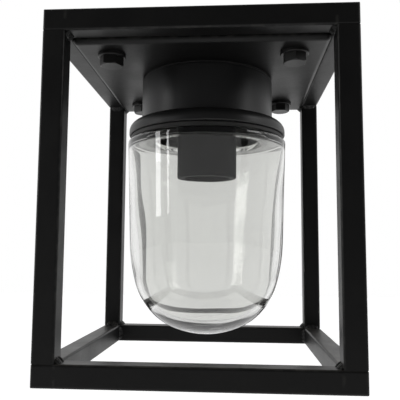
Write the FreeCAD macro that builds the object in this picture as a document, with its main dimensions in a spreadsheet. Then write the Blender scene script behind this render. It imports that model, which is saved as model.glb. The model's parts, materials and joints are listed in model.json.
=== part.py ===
import FreeCAD, Part
import math
import os
from types import SimpleNamespace

import Sketcher

# Porch ceiling lantern: a welded cage of square tube, a folded ceiling pan bolted to a joggled
# ceiling bracket, a cast lamp housing under the pan, and a thick glass jar that screws up into
# the housing round the lampholder. Millimetres and degrees.
# Frame: origin at the centre of the ceiling face (the top of the cage), +X right, +Y to the
# back, +Z up into the ceiling, so every piece lies at z <= 0.

SIZES = {
    # cage of square tube
    "frame_width": 180,
    "frame_height": 213,
    "tube_side": 13,
    "tube_wall": 1.5,
    "tube_rounding": 1.4,
    "weld_leg": 3,
    # ceiling pan: a shallow folded tray, open upwards, inside the top ring
    "pan_thickness": 1.5,
    "pan_gap": 0.3,
    "pan_drop": 3,
    "pan_bend": 3,
    "pan_rim_recess": 2.5,
    "pan_weld_leg": 1.6,
    "pan_weld_length": 24,
    "pan_weld_spacing": 90,
    # four hex bolts that pull the pan up to the ceiling bracket
    "bolt_offset": 57,
    "bolt_diameter": 8,
    "bolt_length": 16,
    "bolt_head_flats": 13,
    "bolt_head_height": 5.3,
    "bolt_tip_chamfer": 1,
    "bolt_clearance": 0.5,
    "washer_diameter": 17.5,
    "washer_thickness": 2,
    "washer_bevel": 0.4,
    "washer_clearance": 0.2,
    "thread_clearance": 0.05,
    # ceiling bracket: a ring against the ceiling with four joggled arms down to the pan
    "bracket_thickness": 2.5,
    "bracket_ring_radius": 56,
    "bracket_opening_radius": 26,
    "arm_width": 22,
    "arm_reach": 11,
    "arm_toe_flat": 5,
    "joggle_angle": 60,
    "joggle_start": 6,
    "screw_slot_spacing": 80,
    "screw_slot_length": 20,
    "screw_slot_width": 5.5,
    "weld_nut_flats": 14,
    "weld_nut_height": 6.5,
    # cast lamp housing
    "housing_gasket_thickness": 1,
    "housing_gasket_inset": 1,
    "housing_radius": 46.5,
    "housing_height": 40.5,
    "housing_top": 3,
    "housing_edge_rounding": 1,
    "bore_radius": 42.6,
    "collar_radius": 55.3,
    "collar_height": 9.5,
    "collar_rounding": 6.5,
    "collar_root_rounding": 1,
    "boss_circle_radius": 35,
    "boss_radius": 5,
    "boss_length": 9,
    "housing_screw_diameter": 4,
    "housing_screw_length": 11,
    "housing_screw_head_radius": 4,
    "housing_screw_head_height": 2.6,
    "housing_screw_crown": 1.3,
    "housing_screw_clearance": 0.25,
    # glass jar and its seal
    "glass_gasket_thickness": 3,
    "glass_gasket_inset": 1.3,
    "glass_gasket_rounding": 0.8,
    "neck_thread_depth": 1.6,
    "neck_length": 18,
    "neck_wall": 4.5,
    "neck_rounding": 1.2,
    "glass_overhang": 0.45,
    "glass_shoulder_rounding": 2.5,
    "glass_length": 134.8,
    "glass_taper": 1.76,
    "dome_step": 7.65,
    "dome_angle": 20.7,
    "glass_wall": 5,
    "shoulder_wall": 5,
    "inner_shoulder_rounding": 4,
    "inner_taper": 5.2,
    "base_thickness": 15.3,
    "floor_radius": 90,
    "floor_corner_radius": 12,
    # lampholder for a large screw cap
    "holder_radius": 20.75,
    "holder_wall": 2.2,
    "skirt_length": 38,
    "skirt_mouth_radius": 15.4,
    "skirt_lip_height": 8,
    "skirt_lip_wall": 1.8,
    "skirt_rounding": 1,
    "holder_drop": 68.5,
    "cap_neck_radius": 8,
    "cap_neck_length": 6,
    "cap_shoulder_height": 14,
    "cap_wall": 2,
    "cap_slope": 5,
    "cap_clearance": 0.15,
    "shell_bore_radius": 13.3,
    "shell_wall": 0.4,
    "shell_length": 18,
    "insert_clearance": 0.2,
    "insert_floor": 4.1,
    "contact_chamber_radius": 12.3,
    "contact_chamber_depth": 3.9,
    "contact_width": 6,
    "contact_thickness": 0.6,
    "contact_root": 8,
    "contact_tip": 3,
    "contact_lift": 3.4,
    "contact_foot_length": 3.4,
    "rivet_radius": 1.1,
    "contact_gap": 0.3,
    "holder_terminal_offset": 8.5,
    "holder_terminal_height": 4,
    "holder_terminal_side": 5.5,
    "holder_screw_radius": 1.5,
    "holder_screw_length": 1.5,
    # threaded tube that hangs the lampholder from the housing and the pan
    "nipple_radius": 5,
    "nipple_wall": 1,
    "nipple_clearance": 0.05,
    "nipple_stand": 4.5,
    "nipple_nut_flats": 14,
    "nipple_nut_height": 3,
    # connection block and leads inside the pan
    "block_y": 40,
    "block_pitch": 9.3,
    "block_length": 28,
    "block_depth": 14,
    "block_base_height": 3,
    "block_barrel_radius": 3.6,
    "block_barrel_height": 5.4,
    "block_tower_radius": 2.7,
    "block_height": 10,
    "block_tower_spacing": 7.4,
    "block_bore_radius": 1.3,
    "block_screw_radius": 1.6,
    "block_screw_depth": 3,
    "block_screw_length": 2.1,
    "block_web_half": 3,
    "block_web_height": 9,
    "fixing_screw_radius": 1.5,
    "fixing_screw_head_radius": 2.6,
    "fixing_screw_head_height": 1.8,
    "small_screw_crown": 0.6,
    "earth_x": 24,
    "earth_y": -14,
    "earth_screw_radius": 2,
    "earth_screw_head_radius": 4,
    "earth_screw_head_height": 2.8,
    "earth_tag_radius": 4.5,
    "earth_tag_thickness": 0.8,
    "wire_radius": 0.9,
    "wire_spread": 1.2,
    "lead_exit": 11,
    "lead_gather_y": 12,
    "lead_arch_height": 6.3,
    "lead_split_height": 11.5,
    "lead_end_rise": 5,
    "earth_lead_exit": 9,
    "earth_bend_x": 14,
    "earth_bend_y": 13,
    "earth_landing_y": 2,
    "earth_lead_gap": 0.3,
}

TOLERANCE = 1e-4
QUARTER_COPIES = 4
BOSS_COUNT = 3
POLE_COUNT = 3
HEX_CHAMFER_SLOPE = math.tan(math.radians(30))
# An arc of a lead takes this share of the shorter run beside it.
RUN_SHARE = 0.45
VOLUME_SLACK = 0.005


class Size:
    """A number together with the sheet formula that it comes from."""

    def __init__(self, value, formula):
        self.value = value
        self.formula = formula

    def __add__(self, other):
        other = as_size(other)
        return Size(self.value + other.value, f"({self.formula} + {other.formula})")

    def __radd__(self, other):
        return as_size(other) + self

    def __sub__(self, other):
        other = as_size(other)
        return Size(self.value - other.value, f"({self.formula} - {other.formula})")

    def __rsub__(self, other):
        return as_size(other) - self

    def __mul__(self, other):
        other = as_size(other)
        return Size(self.value * other.value, f"({self.formula} * {other.formula})")

    def __rmul__(self, other):
        return as_size(other) * self

    def __truediv__(self, other):
        other = as_size(other)
        return Size(self.value / other.value, f"({self.formula} / {other.formula})")

    def __neg__(self):
        return Size(-self.value, f"(0 - {self.formula})")


def as_size(number):
    return number if isinstance(number, Size) else Size(float(number), repr(float(number)))


def root(size):
    return Size(math.sqrt(size.value), f"sqrt({size.formula})")


def cosine(angle):
    return Size(math.cos(math.radians(angle.value)), f"cos({angle.formula})")


def sine(angle):
    return Size(math.sin(math.radians(angle.value)), f"sin({angle.formula})")


def tangent(angle):
    return Size(math.tan(math.radians(angle.value)), f"tan({angle.formula})")


doc = FreeCAD.newDocument("PorchCeilingLantern")
sheet = doc.addObject("Spreadsheet::Sheet", "Sizes")


def fill_sheet():
    """Write the driving dimensions to the sheet, one row each, and return them by name."""
    named = {}
    for row, (name, number) in enumerate(SIZES.items(), start=1):
        sheet.set(f"A{row}", name)
        sheet.set(f"B{row}", str(number))
        sheet.setAlias(f"B{row}", name)
        named[name] = Size(float(number), f"Sizes.{name}")
    doc.recompute()
    return SimpleNamespace(**named)


d = fill_sheet()
kept = []


# ---------------------------------------------------------------- sketch and feature helpers


def keep(obj):
    """Mark a finished object as one of the lantern's pieces."""
    kept.append(obj)
    return obj


def new_body(label):
    body = doc.addObject("PartDesign::Body", label)
    body.Label = label
    body.AllowCompound = True
    return keep(body)


def origin_feature(body, role):
    return next(feature for feature in body.Origin.OriginFeatures if feature.Role == role)


def bind(obj, path, size):
    obj.setExpression(path, as_size(size).formula)


def new_sketch(body, role, shift=(0, 0, 0), turn=0):
    """A sketch on one of the body's origin planes, shifted in and along it, turned about its Y."""
    sketch = body.newObject("Sketcher::SketchObject", f"{body.Label}_sketch")
    sketch.AttachmentSupport = (origin_feature(body, role), [""])
    sketch.MapMode = "FlatFace"
    rotation = FreeCAD.Rotation(FreeCAD.Vector(0, 1, 0), turn)
    sketch.AttachmentOffset = FreeCAD.Placement(FreeCAD.Vector(), rotation)
    for axis, amount in zip("xyz", shift):
        bind(sketch, f"AttachmentOffset.Base.{axis}", amount)
    return sketch


def fix_point(sketch, geometry, end, x, y):
    """Tie one point of a sketch to the formulas of its two coordinates."""
    for kind, axis, size in (("DistanceX", -2, as_size(x)), ("DistanceY", -1, as_size(y))):
        if abs(size.value) < TOLERANCE:
            sketch.addConstraint(Sketcher.Constraint("PointOnObject", geometry, end, axis))
        else:
            index = sketch.addConstraint(Sketcher.Constraint(kind, -1, 1, geometry, end, size.value))
            bind(sketch, f"Constraints[{index}]", size)


def add_circle(sketch, x, y, radius):
    radius = as_size(radius)
    centre = FreeCAD.Vector(as_size(x).value, as_size(y).value, 0)
    index = sketch.addGeometry(Part.Circle(centre, FreeCAD.Vector(0, 0, 1), radius.value), False)
    fix_point(sketch, index, 3, x, y)
    rim = sketch.addConstraint(Sketcher.Constraint("Radius", index, radius.value))
    bind(sketch, f"Constraints[{rim}]", radius)


def arc_between(start, end, radius, side):
    """The minor arc from start to end; side 1 has its centre on the left of the way, -1 right."""
    chord = end - start
    middle = (start + end) * 0.5
    left = FreeCAD.Vector(-chord.y, chord.x, 0).normalize()
    rise = math.sqrt(max(radius ** 2 - (chord.Length / 2) ** 2, 0))
    centre = middle + left * rise * side
    first, last = (start, end) if side > 0 else (end, start)
    angles = [math.atan2(point.y - centre.y, point.x - centre.x) for point in (first, last)]
    circle = Part.Circle(centre, FreeCAD.Vector(0, 0, 1), radius)
    return Part.ArcOfCircle(circle, *angles)


def add_outline(sketch, points):
    """A closed outline. Each point is (x, y), or (x, y, radius, side) when an arc leaves it."""
    corners = [FreeCAD.Vector(as_size(p[0]).value, as_size(p[1]).value, 0) for p in points]
    ends = []
    for number, point in enumerate(points):
        start = corners[number]
        end = corners[(number + 1) % len(points)]
        if len(point) == 2:
            index = sketch.addGeometry(Part.LineSegment(start, end), False)
            ends.append((index, 1, 2))
            continue
        radius, side = as_size(point[2]), point[3]
        index = sketch.addGeometry(arc_between(start, end, radius.value, side), False)
        ends.append((index, 1, 2) if side > 0 else (index, 2, 1))
        curve = sketch.addConstraint(Sketcher.Constraint("Radius", index, radius.value))
        bind(sketch, f"Constraints[{curve}]", radius)
    for number, (index, first, _) in enumerate(ends):
        before, _, last = ends[number - 1]
        sketch.addConstraint(Sketcher.Constraint("Coincident", before, last, index, first))
        fix_point(sketch, index, first, points[number][0], points[number][1])


def rounded_rectangle(half_x, half_y, radius):
    """Outline points of a rectangle about the sketch's origin with rounded corners."""
    return [
        (half_x, radius - half_y),
        (half_x, half_y - radius, radius, 1),
        (half_x - radius, half_y),
        (radius - half_x, half_y, radius, 1),
        (-half_x, half_y - radius),
        (-half_x, radius - half_y, radius, 1),
        (radius - half_x, -half_y),
        (half_x - radius, -half_y, radius, 1),
    ]


def rectangle(low_x, high_x, low_y, high_y):
    return [(low_x, low_y), (high_x, low_y), (high_x, high_y), (low_x, high_y)]


def slot_outline(x, half_length, half_width):
    """Outline points of a round-ended slot along X, each end as two quarter arcs."""
    straight = half_length - half_width
    return [
        (x - straight, -half_width),
        (x + straight, -half_width, half_width, 1),
        (x + half_length, 0, half_width, 1),
        (x + straight, half_width),
        (x - straight, half_width, half_width, 1),
        (x - half_length, 0, half_width, 1),
    ]


def hexagon(x, y, flats):
    """Outline points of a hexagon by its width across flats."""
    half = flats / 2
    reach = flats / math.sqrt(3)
    return [
        (x + reach, y),
        (x + reach / 2, y + half),
        (x - reach / 2, y + half),
        (x - reach, y),
        (x - reach / 2, y - half),
        (x + reach / 2, y - half),
    ]


def pad(body, sketch, length, symmetric=False, down=False):
    feature = body.newObject("PartDesign::Pad", f"{body.Label}_pad")
    feature.Profile = sketch
    bind(feature, "Length", length)
    feature.SideType = "Symmetric" if symmetric else "One side"
    feature.Reversed = down
    return feature


def cut_through(body, sketch):
    feature = body.newObject("PartDesign::Pocket", f"{body.Label}_cut")
    feature.Profile = sketch
    feature.SideType = "Symmetric"
    feature.Type = "ThroughAll"
    return feature


def cut_down(body, sketch, depth):
    feature = body.newObject("PartDesign::Pocket", f"{body.Label}_pocket")
    feature.Profile = sketch
    bind(feature, "Length", depth)
    return feature


def turn_profile(body, points, x=0, y=0, kind="PartDesign::Revolution"):
    """Revolve an outline of (radius, height) points about the vertical axis through (x, y)."""
    sketch = new_sketch(body, "XZ_Plane", (x, 0, -as_size(y)))
    add_outline(sketch, points)
    feature = body.newObject(kind, f"{body.Label}_turned")
    feature.Profile = sketch
    feature.ReferenceAxis = (sketch, ["V_Axis"])
    feature.Angle = 360
    return feature


def around(body, features, count):
    """Repeat features at equal steps about the lantern's axis."""
    pattern = body.newObject("PartDesign::PolarPattern", f"{body.Label}_pattern")
    pattern.Originals = features
    pattern.Axis = (origin_feature(body, "Z_Axis"), [""])
    pattern.Angle = 360
    pattern.Occurrences = count
    body.Tip = pattern
    return pattern


def along(body, features, role, length, count):
    """Repeat features at equal steps over a length along one of the body's axes."""
    pattern = body.newObject("PartDesign::LinearPattern", f"{body.Label}_row")
    pattern.Originals = features
    pattern.Direction = (origin_feature(body, role), [""])
    bind(pattern, "Length", length)
    pattern.Occurrences = count
    body.Tip = pattern
    return pattern


def round_edges(body, base, radius, chosen):
    """Fillet those edges of the feature base for which chosen(edge) is true."""
    doc.recompute()
    names = [f"Edge{i}" for i, edge in enumerate(base.Shape.Edges, start=1) if chosen(edge)]
    fillet = body.newObject("PartDesign::Fillet", f"{body.Label}_rounding")
    fillet.Base = (base, names)
    bind(fillet, "Radius", radius)
    return fillet


def level_edge(height):
    """A test for edges that lie flat at a height."""
    def chosen(edge):
        box = edge.BoundBox
        return abs(box.ZMax - height.value) < TOLERANCE and abs(box.ZMin - height.value) < TOLERANCE
    return chosen


def place(obj, x=0, y=0, z=0, turn=0, tilt_axis=None, tilt=0):
    """Set a piece's place: tilted about its own axis first, then turned about the vertical."""
    rotation = FreeCAD.Rotation(FreeCAD.Vector(0, 0, 1), turn)
    if tilt_axis:
        rotation = rotation.multiply(FreeCAD.Rotation(FreeCAD.Vector(*tilt_axis), tilt))
    obj.Placement = FreeCAD.Placement(FreeCAD.Vector(), rotation)
    for axis, amount in zip("xyz", (x, y, z)):
        bind(obj, f"Placement.Base.{axis}", amount)


# ---------------------------------------------------------------- shared levels and radii

HALF_WIDTH = d.frame_width / 2
BAR_CENTRE = HALF_WIDTH - d.tube_side / 2
OPENING_HALF = HALF_WIDTH - d.tube_side

PAN_UNDER = -(d.tube_side + d.pan_drop)
PAN_FLOOR = PAN_UNDER + d.pan_thickness
PAN_HALF = OPENING_HALF - d.pan_gap
PAN_RIM = -d.pan_rim_recess

BOLT_HOLE_RADIUS = d.bolt_diameter / 2 + d.bolt_clearance
FOOT_TOP = PAN_FLOOR + d.bracket_thickness
WASHER_UNDER = PAN_UNDER - d.washer_thickness

HOUSING_TOP = PAN_UNDER - d.housing_gasket_thickness
HOUSING_CEILING = HOUSING_TOP - d.housing_top
HOUSING_RIM = HOUSING_TOP - d.housing_height
GLASS_SEAT = HOUSING_RIM - d.glass_gasket_thickness
GLASS_BOTTOM = GLASS_SEAT - d.glass_length
NECK_RADIUS = d.bore_radius - d.neck_thread_depth
GLASS_RADIUS = d.collar_radius + d.glass_overhang

HOLDER_BOTTOM = HOUSING_TOP - d.holder_drop
SKIRT_TOP = HOLDER_BOTTOM + d.skirt_length
CAP_TOP = SKIRT_TOP + d.cap_shoulder_height + d.cap_neck_length
LIP_TOP = HOLDER_BOTTOM + d.skirt_lip_height
SHELL_TOP = LIP_TOP + d.shell_length
CHAMBER_TOP = SHELL_TOP + d.contact_chamber_depth
INSERT_TOP = CHAMBER_TOP + d.insert_floor
NIPPLE_TOP = PAN_FLOOR + d.nipple_stand
NIPPLE_HOLE_RADIUS = d.nipple_radius + d.nipple_clearance


# ---------------------------------------------------------------- cage of square tube


def tube_section(sketch):
    """The tube's section: a square with rounded edges round a square bore."""
    half = d.tube_side / 2
    add_outline(sketch, rounded_rectangle(half, half, d.tube_rounding))
    bore = half - d.tube_wall
    add_outline(sketch, rectangle(-bore, bore, -bore, bore))


def ring_rail(label, height, turn):
    """One rail of a ring, mitred at both ends, with its two outer corners rounded."""
    body = new_body(label)
    section = new_sketch(body, "YZ_Plane")
    tube_section(section)
    rail = pad(body, section, d.frame_width, symmetric=True)
    half = d.tube_side / 2
    past = d.tube_side
    mitre = new_sketch(body, "XY_Plane")
    corner = new_sketch(body, "XY_Plane")
    for side in (-1, 1):
        tip = HALF_WIDTH * side
        outside = past * side
        add_outline(mitre, [
            (tip + outside, -half - past),
            (tip + outside, half + past),
            (tip - outside * 2, half + past),
        ])
        add_outline(corner, [
            (tip - d.tube_rounding * side, -half, d.tube_rounding, side),
            (tip, d.tube_rounding - half),
            (tip + outside, d.tube_rounding - half),
            (tip + outside, -half - past),
            (tip - d.tube_rounding * side, -half - past),
        ])
    doc.recompute()
    whole = rail.Shape.Volume
    mitred = cut_through(body, mitre)
    rounded = cut_through(body, corner)
    doc.recompute()
    assert rounded.Shape.Volume < mitred.Shape.Volume < whole
    reach = {0: (0, -1), 90: (1, 0), 180: (0, 1), 270: (-1, 0)}[turn]
    place(body, BAR_CENTRE * reach[0], BAR_CENTRE * reach[1], height, turn)


def corner_post(label, side_x, side_y):
    """One upright between the two rings."""
    body = new_body(label)
    section = new_sketch(body, "XY_Plane")
    tube_section(section)
    pad(body, section, d.frame_height - d.tube_side * 2)
    place(body, BAR_CENTRE * side_x, BAR_CENTRE * side_y, d.tube_side - d.frame_height)


def weld_bead(leg, length):
    """A concave fillet bead in the corner of +X and +Y, running up from z = 0."""
    corner = FreeCAD.Vector(0, 0, 0)
    along_x = FreeCAD.Vector(leg, 0, 0)
    along_y = FreeCAD.Vector(0, leg, 0)
    hollow = FreeCAD.Vector(leg * (1 - math.sqrt(0.5)), leg * (1 - math.sqrt(0.5)), 0)
    outline = Part.Wire([
        Part.makeLine(corner, along_x),
        Part.Arc(along_x, hollow, along_y).toShape(),
        Part.makeLine(along_y, corner),
    ])
    return Part.Face(outline).extrude(FreeCAD.Vector(0, 0, length))


def corner_beads():
    """The beads in the inner corners of both rings and where each post stands on them."""
    leg = d.weld_leg.value
    side = d.tube_side.value
    inner = OPENING_HALF.value
    outer = HALF_WIDTH.value
    ring_low = -d.frame_height.value
    flat = side - 2 * d.tube_rounding.value
    in_ring = weld_bead(leg, flat)
    in_ring.translate(FreeCAD.Vector(-inner, -inner, d.tube_rounding.value))
    beads = [in_ring.translated(FreeCAD.Vector(0, 0, level)) for level in (ring_low, -side)]
    across = FreeCAD.Rotation(FreeCAD.Vector(1, 0, 0), FreeCAD.Vector(0, 0, 1), FreeCAD.Vector(0, -1, 0))
    for up in (1, -1):
        level = ring_low + side if up > 0 else -side
        bead = weld_bead(leg, flat)
        bead.Placement = FreeCAD.Placement(FreeCAD.Vector(), across)
        if up < 0:
            bead = bead.mirror(FreeCAD.Vector(), FreeCAD.Vector(0, 0, 1))
        bead.translate(FreeCAD.Vector(-inner, d.tube_rounding.value - outer + flat, level))
        beads.append(bead)
        swapped = bead.mirror(FreeCAD.Vector(), FreeCAD.Vector(1, -1, 0))
        beads.append(swapped)
    group = []
    for number in range(QUARTER_COPIES):
        for bead in beads:
            copy = bead.copy()
            copy.rotate(FreeCAD.Vector(), FreeCAD.Vector(0, 0, 1), number * 90)
            group.append(copy)
    welds = keep(doc.addObject("Part::Feature", "corner_welds"))
    welds.Label = "corner_welds"
    welds.Shape = Part.makeCompound(group)
    welds.Placement = FreeCAD.Placement()


def build_cage():
    ring_names = {0: "front", 90: "right", 180: "back", 270: "left"}
    for ring, height in (("top", -d.tube_side / 2), ("bottom", d.tube_side / 2 - d.frame_height)):
        for turn, name in ring_names.items():
            ring_rail(f"{ring}_rail_{name}", height, turn)
    for front_back, side_y in (("front", -1), ("back", 1)):
        for left_right, side_x in (("left", -1), ("right", 1)):
            corner_post(f"post_{front_back}_{left_right}", side_x, side_y)
    corner_beads()


# ---------------------------------------------------------------- ceiling pan and its fixings


def canopy_pan():
    """The folded tray: rounded along its bends, holed for bolts, nipple and screws."""
    body = new_body("canopy_pan")
    outside = new_sketch(body, "XY_Plane", (0, 0, PAN_UNDER))
    add_outline(outside, rounded_rectangle(PAN_HALF, PAN_HALF, d.pan_bend))
    block = pad(body, outside, PAN_RIM - PAN_UNDER)
    folded = round_edges(body, block, d.pan_bend, level_edge(PAN_UNDER))
    inside = new_sketch(body, "XY_Plane", (0, 0, PAN_RIM))
    inner_half = PAN_HALF - d.pan_thickness
    inner_bend = d.pan_bend - d.pan_thickness
    add_outline(inside, rounded_rectangle(inner_half, inner_half, inner_bend))
    hollow = cut_down(body, inside, PAN_RIM - PAN_FLOOR)
    bent = round_edges(body, hollow, inner_bend, level_edge(PAN_FLOOR))
    doc.recompute()
    assert bent.Shape.Volume < folded.Shape.Volume / 2
    bolt_hole = new_sketch(body, "XY_Plane")
    add_circle(bolt_hole, d.bolt_offset, d.bolt_offset, BOLT_HOLE_RADIUS)
    around(body, [cut_through(body, bolt_hole)], QUARTER_COPIES)
    screw_hole = new_sketch(body, "XY_Plane")
    add_circle(screw_hole, 0, -d.boss_circle_radius, screw_hole_radius())
    around(body, [cut_through(body, screw_hole)], BOSS_COUNT)
    others = new_sketch(body, "XY_Plane")
    add_circle(others, 0, 0, NIPPLE_HOLE_RADIUS)
    add_circle(others, d.block_pitch / 2, d.block_y, d.fixing_screw_radius + d.thread_clearance)
    add_circle(others, d.earth_x, d.earth_y, d.earth_screw_radius + d.thread_clearance)
    body.Tip = cut_through(body, others)
    place(body)


def screw_hole_radius():
    return d.housing_screw_diameter / 2 + d.housing_screw_clearance


def pan_welds():
    """Eight stitch beads on the pan's rim against the top ring, two on each side."""
    leg = d.pan_weld_leg.value
    length = d.pan_weld_length.value
    beads = []
    for number in range(QUARTER_COPIES):
        for side in (-1, 1):
            bead = weld_bead(leg, length)
            bead.rotate(FreeCAD.Vector(), FreeCAD.Vector(1, 0, 0), 90)
            centre = side * d.pan_weld_spacing.value / 2
            bead.translate(FreeCAD.Vector(-OPENING_HALF.value, centre + length / 2, PAN_RIM.value))
            bead.rotate(FreeCAD.Vector(), FreeCAD.Vector(0, 0, 1), number * 90)
            beads.append(bead)
    welds = keep(doc.addObject("Part::Feature", "pan_welds"))
    welds.Label = "pan_welds"
    welds.Shape = Part.makeCompound(beads)
    welds.Placement = FreeCAD.Placement()


def ceiling_bracket():
    """A flat ring against the ceiling; four arms joggle down to feet on the pan's floor."""
    body = new_body("ceiling_bracket")
    thick = d.bracket_thickness
    ring = new_sketch(body, "XY_Plane")
    add_circle(ring, 0, 0, d.bracket_ring_radius)
    add_circle(ring, 0, 0, d.bracket_opening_radius)
    pad(body, ring, thick, down=True)
    bolt_reach = d.bolt_offset * math.sqrt(2)
    start = d.bracket_ring_radius - d.joggle_start
    run = -FOOT_TOP / tangent(d.joggle_angle)
    lag = thick * tangent(d.joggle_angle / 2)
    profile = new_sketch(body, "XZ_Plane", turn=-45)
    add_outline(profile, [
        (d.bracket_opening_radius + d.joggle_start, 0),
        (start + lag, 0),
        (start + lag + run, FOOT_TOP),
        (bolt_reach + d.arm_reach, FOOT_TOP),
        (bolt_reach + d.arm_reach, PAN_FLOOR),
        (start + run, PAN_FLOOR),
        (start, -thick),
        (d.bracket_opening_radius + d.joggle_start, -thick),
    ])
    arm = pad(body, profile, d.arm_width, symmetric=True)
    arms = around(body, [arm], QUARTER_COPIES)
    toe = (bolt_reach + d.arm_reach).value
    def at_a_toe(edge):
        box = edge.BoundBox
        upright = box.ZLength > TOLERANCE and box.XLength < TOLERANCE and box.YLength < TOLERANCE
        reach = (abs(edge.CenterOfMass.x) + abs(edge.CenterOfMass.y)) / math.sqrt(2)
        return upright and abs(reach - toe) < TOLERANCE
    rounded = round_edges(body, arms, (d.arm_width - d.arm_toe_flat) / 2, at_a_toe)
    doc.recompute()
    solid = rounded.Shape.Volume
    bolt_hole = new_sketch(body, "XY_Plane")
    add_circle(bolt_hole, d.bolt_offset, d.bolt_offset, BOLT_HOLE_RADIUS)
    holes = around(body, [cut_through(body, bolt_hole)], QUARTER_COPIES)
    slots = new_sketch(body, "XY_Plane")
    centre = d.screw_slot_spacing / 2
    half_width = d.screw_slot_width / 2
    for side in (-1, 1):
        add_outline(slots, slot_outline(centre * side, d.screw_slot_length / 2, half_width))
    body.Tip = cut_through(body, slots)
    doc.recompute()
    assert body.Shape.Volume < holes.Shape.Volume < solid
    place(body)


def hex_block(body, x, y, flats, low, high, chamfered):
    """A hexagonal block with the corners of its chamfered end turned off at 30 degrees."""
    sketch = new_sketch(body, "XY_Plane", (0, 0, low))
    add_outline(sketch, hexagon(x, y, flats))
    block = pad(body, sketch, high - low)
    corner = flats / math.sqrt(3)
    flat = flats / 2
    rise = (corner - flat) * HEX_CHAMFER_SLOPE
    past = corner + rise
    face, inward = (low, 1) if chamfered == "low" else (high, -1)
    points = [
        (flat, face),
        (past, face + (past - flat) * HEX_CHAMFER_SLOPE * inward),
        (past, face - rise * inward),
        (flat, face - rise * inward),
    ]
    groove = turn_profile(body, points, x, y, kind="PartDesign::Groove")
    return [block, groove]


def weld_nuts():
    """Nuts welded on the feet of the bracket, one above each bolt hole."""
    body = new_body("bracket_weld_nuts")
    top = FOOT_TOP + d.weld_nut_height
    at = d.bolt_offset
    features = hex_block(body, at, at, d.weld_nut_flats, FOOT_TOP, top, "high")
    bore = new_sketch(body, "XY_Plane", (0, 0, top))
    add_circle(bore, at, at, d.bolt_diameter / 2 + d.thread_clearance)
    features.append(cut_down(body, bore, d.weld_nut_height))
    around(body, features, QUARTER_COPIES)
    place(body)


def fixing_bolts():
    """Hex bolts from below, through washer, pan and foot into the weld nuts."""
    body = new_body("fixing_bolts")
    at = d.bolt_offset
    radius = d.bolt_diameter / 2
    tip = WASHER_UNDER + d.bolt_length
    lead = d.bolt_tip_chamfer
    shank = turn_profile(body, [
        (0, WASHER_UNDER),
        (radius, WASHER_UNDER),
        (radius, tip - lead),
        (radius - lead, tip),
        (0, tip),
    ], at, at)
    low = WASHER_UNDER - d.bolt_head_height
    head = hex_block(body, at, at, d.bolt_head_flats, low, WASHER_UNDER, "low")
    around(body, [shank] + head, QUARTER_COPIES)
    place(body)


def fixing_washers():
    body = new_body("fixing_washers")
    bore = d.bolt_diameter / 2 + d.washer_clearance
    rim = d.washer_diameter / 2
    bevel = d.washer_bevel
    ring = turn_profile(body, [
        (bore, WASHER_UNDER),
        (rim - bevel, WASHER_UNDER),
        (rim, WASHER_UNDER + bevel),
        (rim, PAN_UNDER),
        (bore, PAN_UNDER),
    ], d.bolt_offset, d.bolt_offset)
    around(body, [ring], QUARTER_COPIES)
    place(body)


# ---------------------------------------------------------------- lamp housing


def housing_gasket():
    """A flat seal between the pan and the housing, holed for the nipple and the screws."""
    body = new_body("housing_gasket")
    disc = new_sketch(body, "XY_Plane", (0, 0, HOUSING_TOP))
    add_circle(disc, 0, 0, d.housing_radius - d.housing_gasket_inset)
    add_circle(disc, 0, 0, NIPPLE_HOLE_RADIUS)
    pad(body, disc, d.housing_gasket_thickness)
    hole = new_sketch(body, "XY_Plane")
    add_circle(hole, 0, -d.boss_circle_radius, screw_hole_radius())
    around(body, [cut_through(body, hole)], BOSS_COUNT)
    place(body)


def lamp_housing():
    """The casting: a round can whose mouth swells into the rounded collar over the glass."""
    body = new_body("lamp_housing")
    edge = d.housing_edge_rounding
    collar_top = HOUSING_RIM + d.collar_height
    swell = d.collar_rounding
    turned = turn_profile(body, [
        (0, HOUSING_TOP),
        (0, HOUSING_CEILING),
        (d.bore_radius, HOUSING_CEILING),
        (d.bore_radius, HOUSING_RIM),
        (d.collar_radius - edge, HOUSING_RIM, edge, 1),
        (d.collar_radius, HOUSING_RIM + edge),
        (d.collar_radius, collar_top - swell, swell, 1),
        (d.collar_radius - swell, collar_top),
        (d.housing_radius, collar_top),
        (d.housing_radius, HOUSING_TOP - edge, edge, 1),
        (d.housing_radius - edge, HOUSING_TOP),
    ])
    root_radius = d.housing_radius.value
    def at_the_root(edge_shape):
        level = level_edge(collar_top)(edge_shape)
        return level and abs(edge_shape.Curve.Radius - root_radius) < TOLERANCE
    rounded = round_edges(body, turned, d.collar_root_rounding, at_the_root)
    boss_sketch = new_sketch(body, "XY_Plane", (0, 0, HOUSING_CEILING - d.boss_length))
    add_circle(boss_sketch, 0, -d.boss_circle_radius, d.boss_radius)
    # Each boss runs on into the top's own thickness, so that the two are one casting.
    boss = pad(body, boss_sketch, d.boss_length + d.housing_top / 2)
    bosses = around(body, [boss], BOSS_COUNT)
    doc.recompute()
    assert bosses.Shape.Volume > rounded.Shape.Volume
    tapped = new_sketch(body, "XY_Plane", (0, 0, HOUSING_TOP))
    add_circle(tapped, 0, -d.boss_circle_radius, d.housing_screw_diameter / 2 + d.thread_clearance)
    hole = cut_down(body, tapped, d.housing_screw_length)
    around(body, [hole], BOSS_COUNT)
    nipple_hole = new_sketch(body, "XY_Plane")
    add_circle(nipple_hole, 0, 0, NIPPLE_HOLE_RADIUS)
    body.Tip = cut_through(body, nipple_hole)
    place(body)


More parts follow.
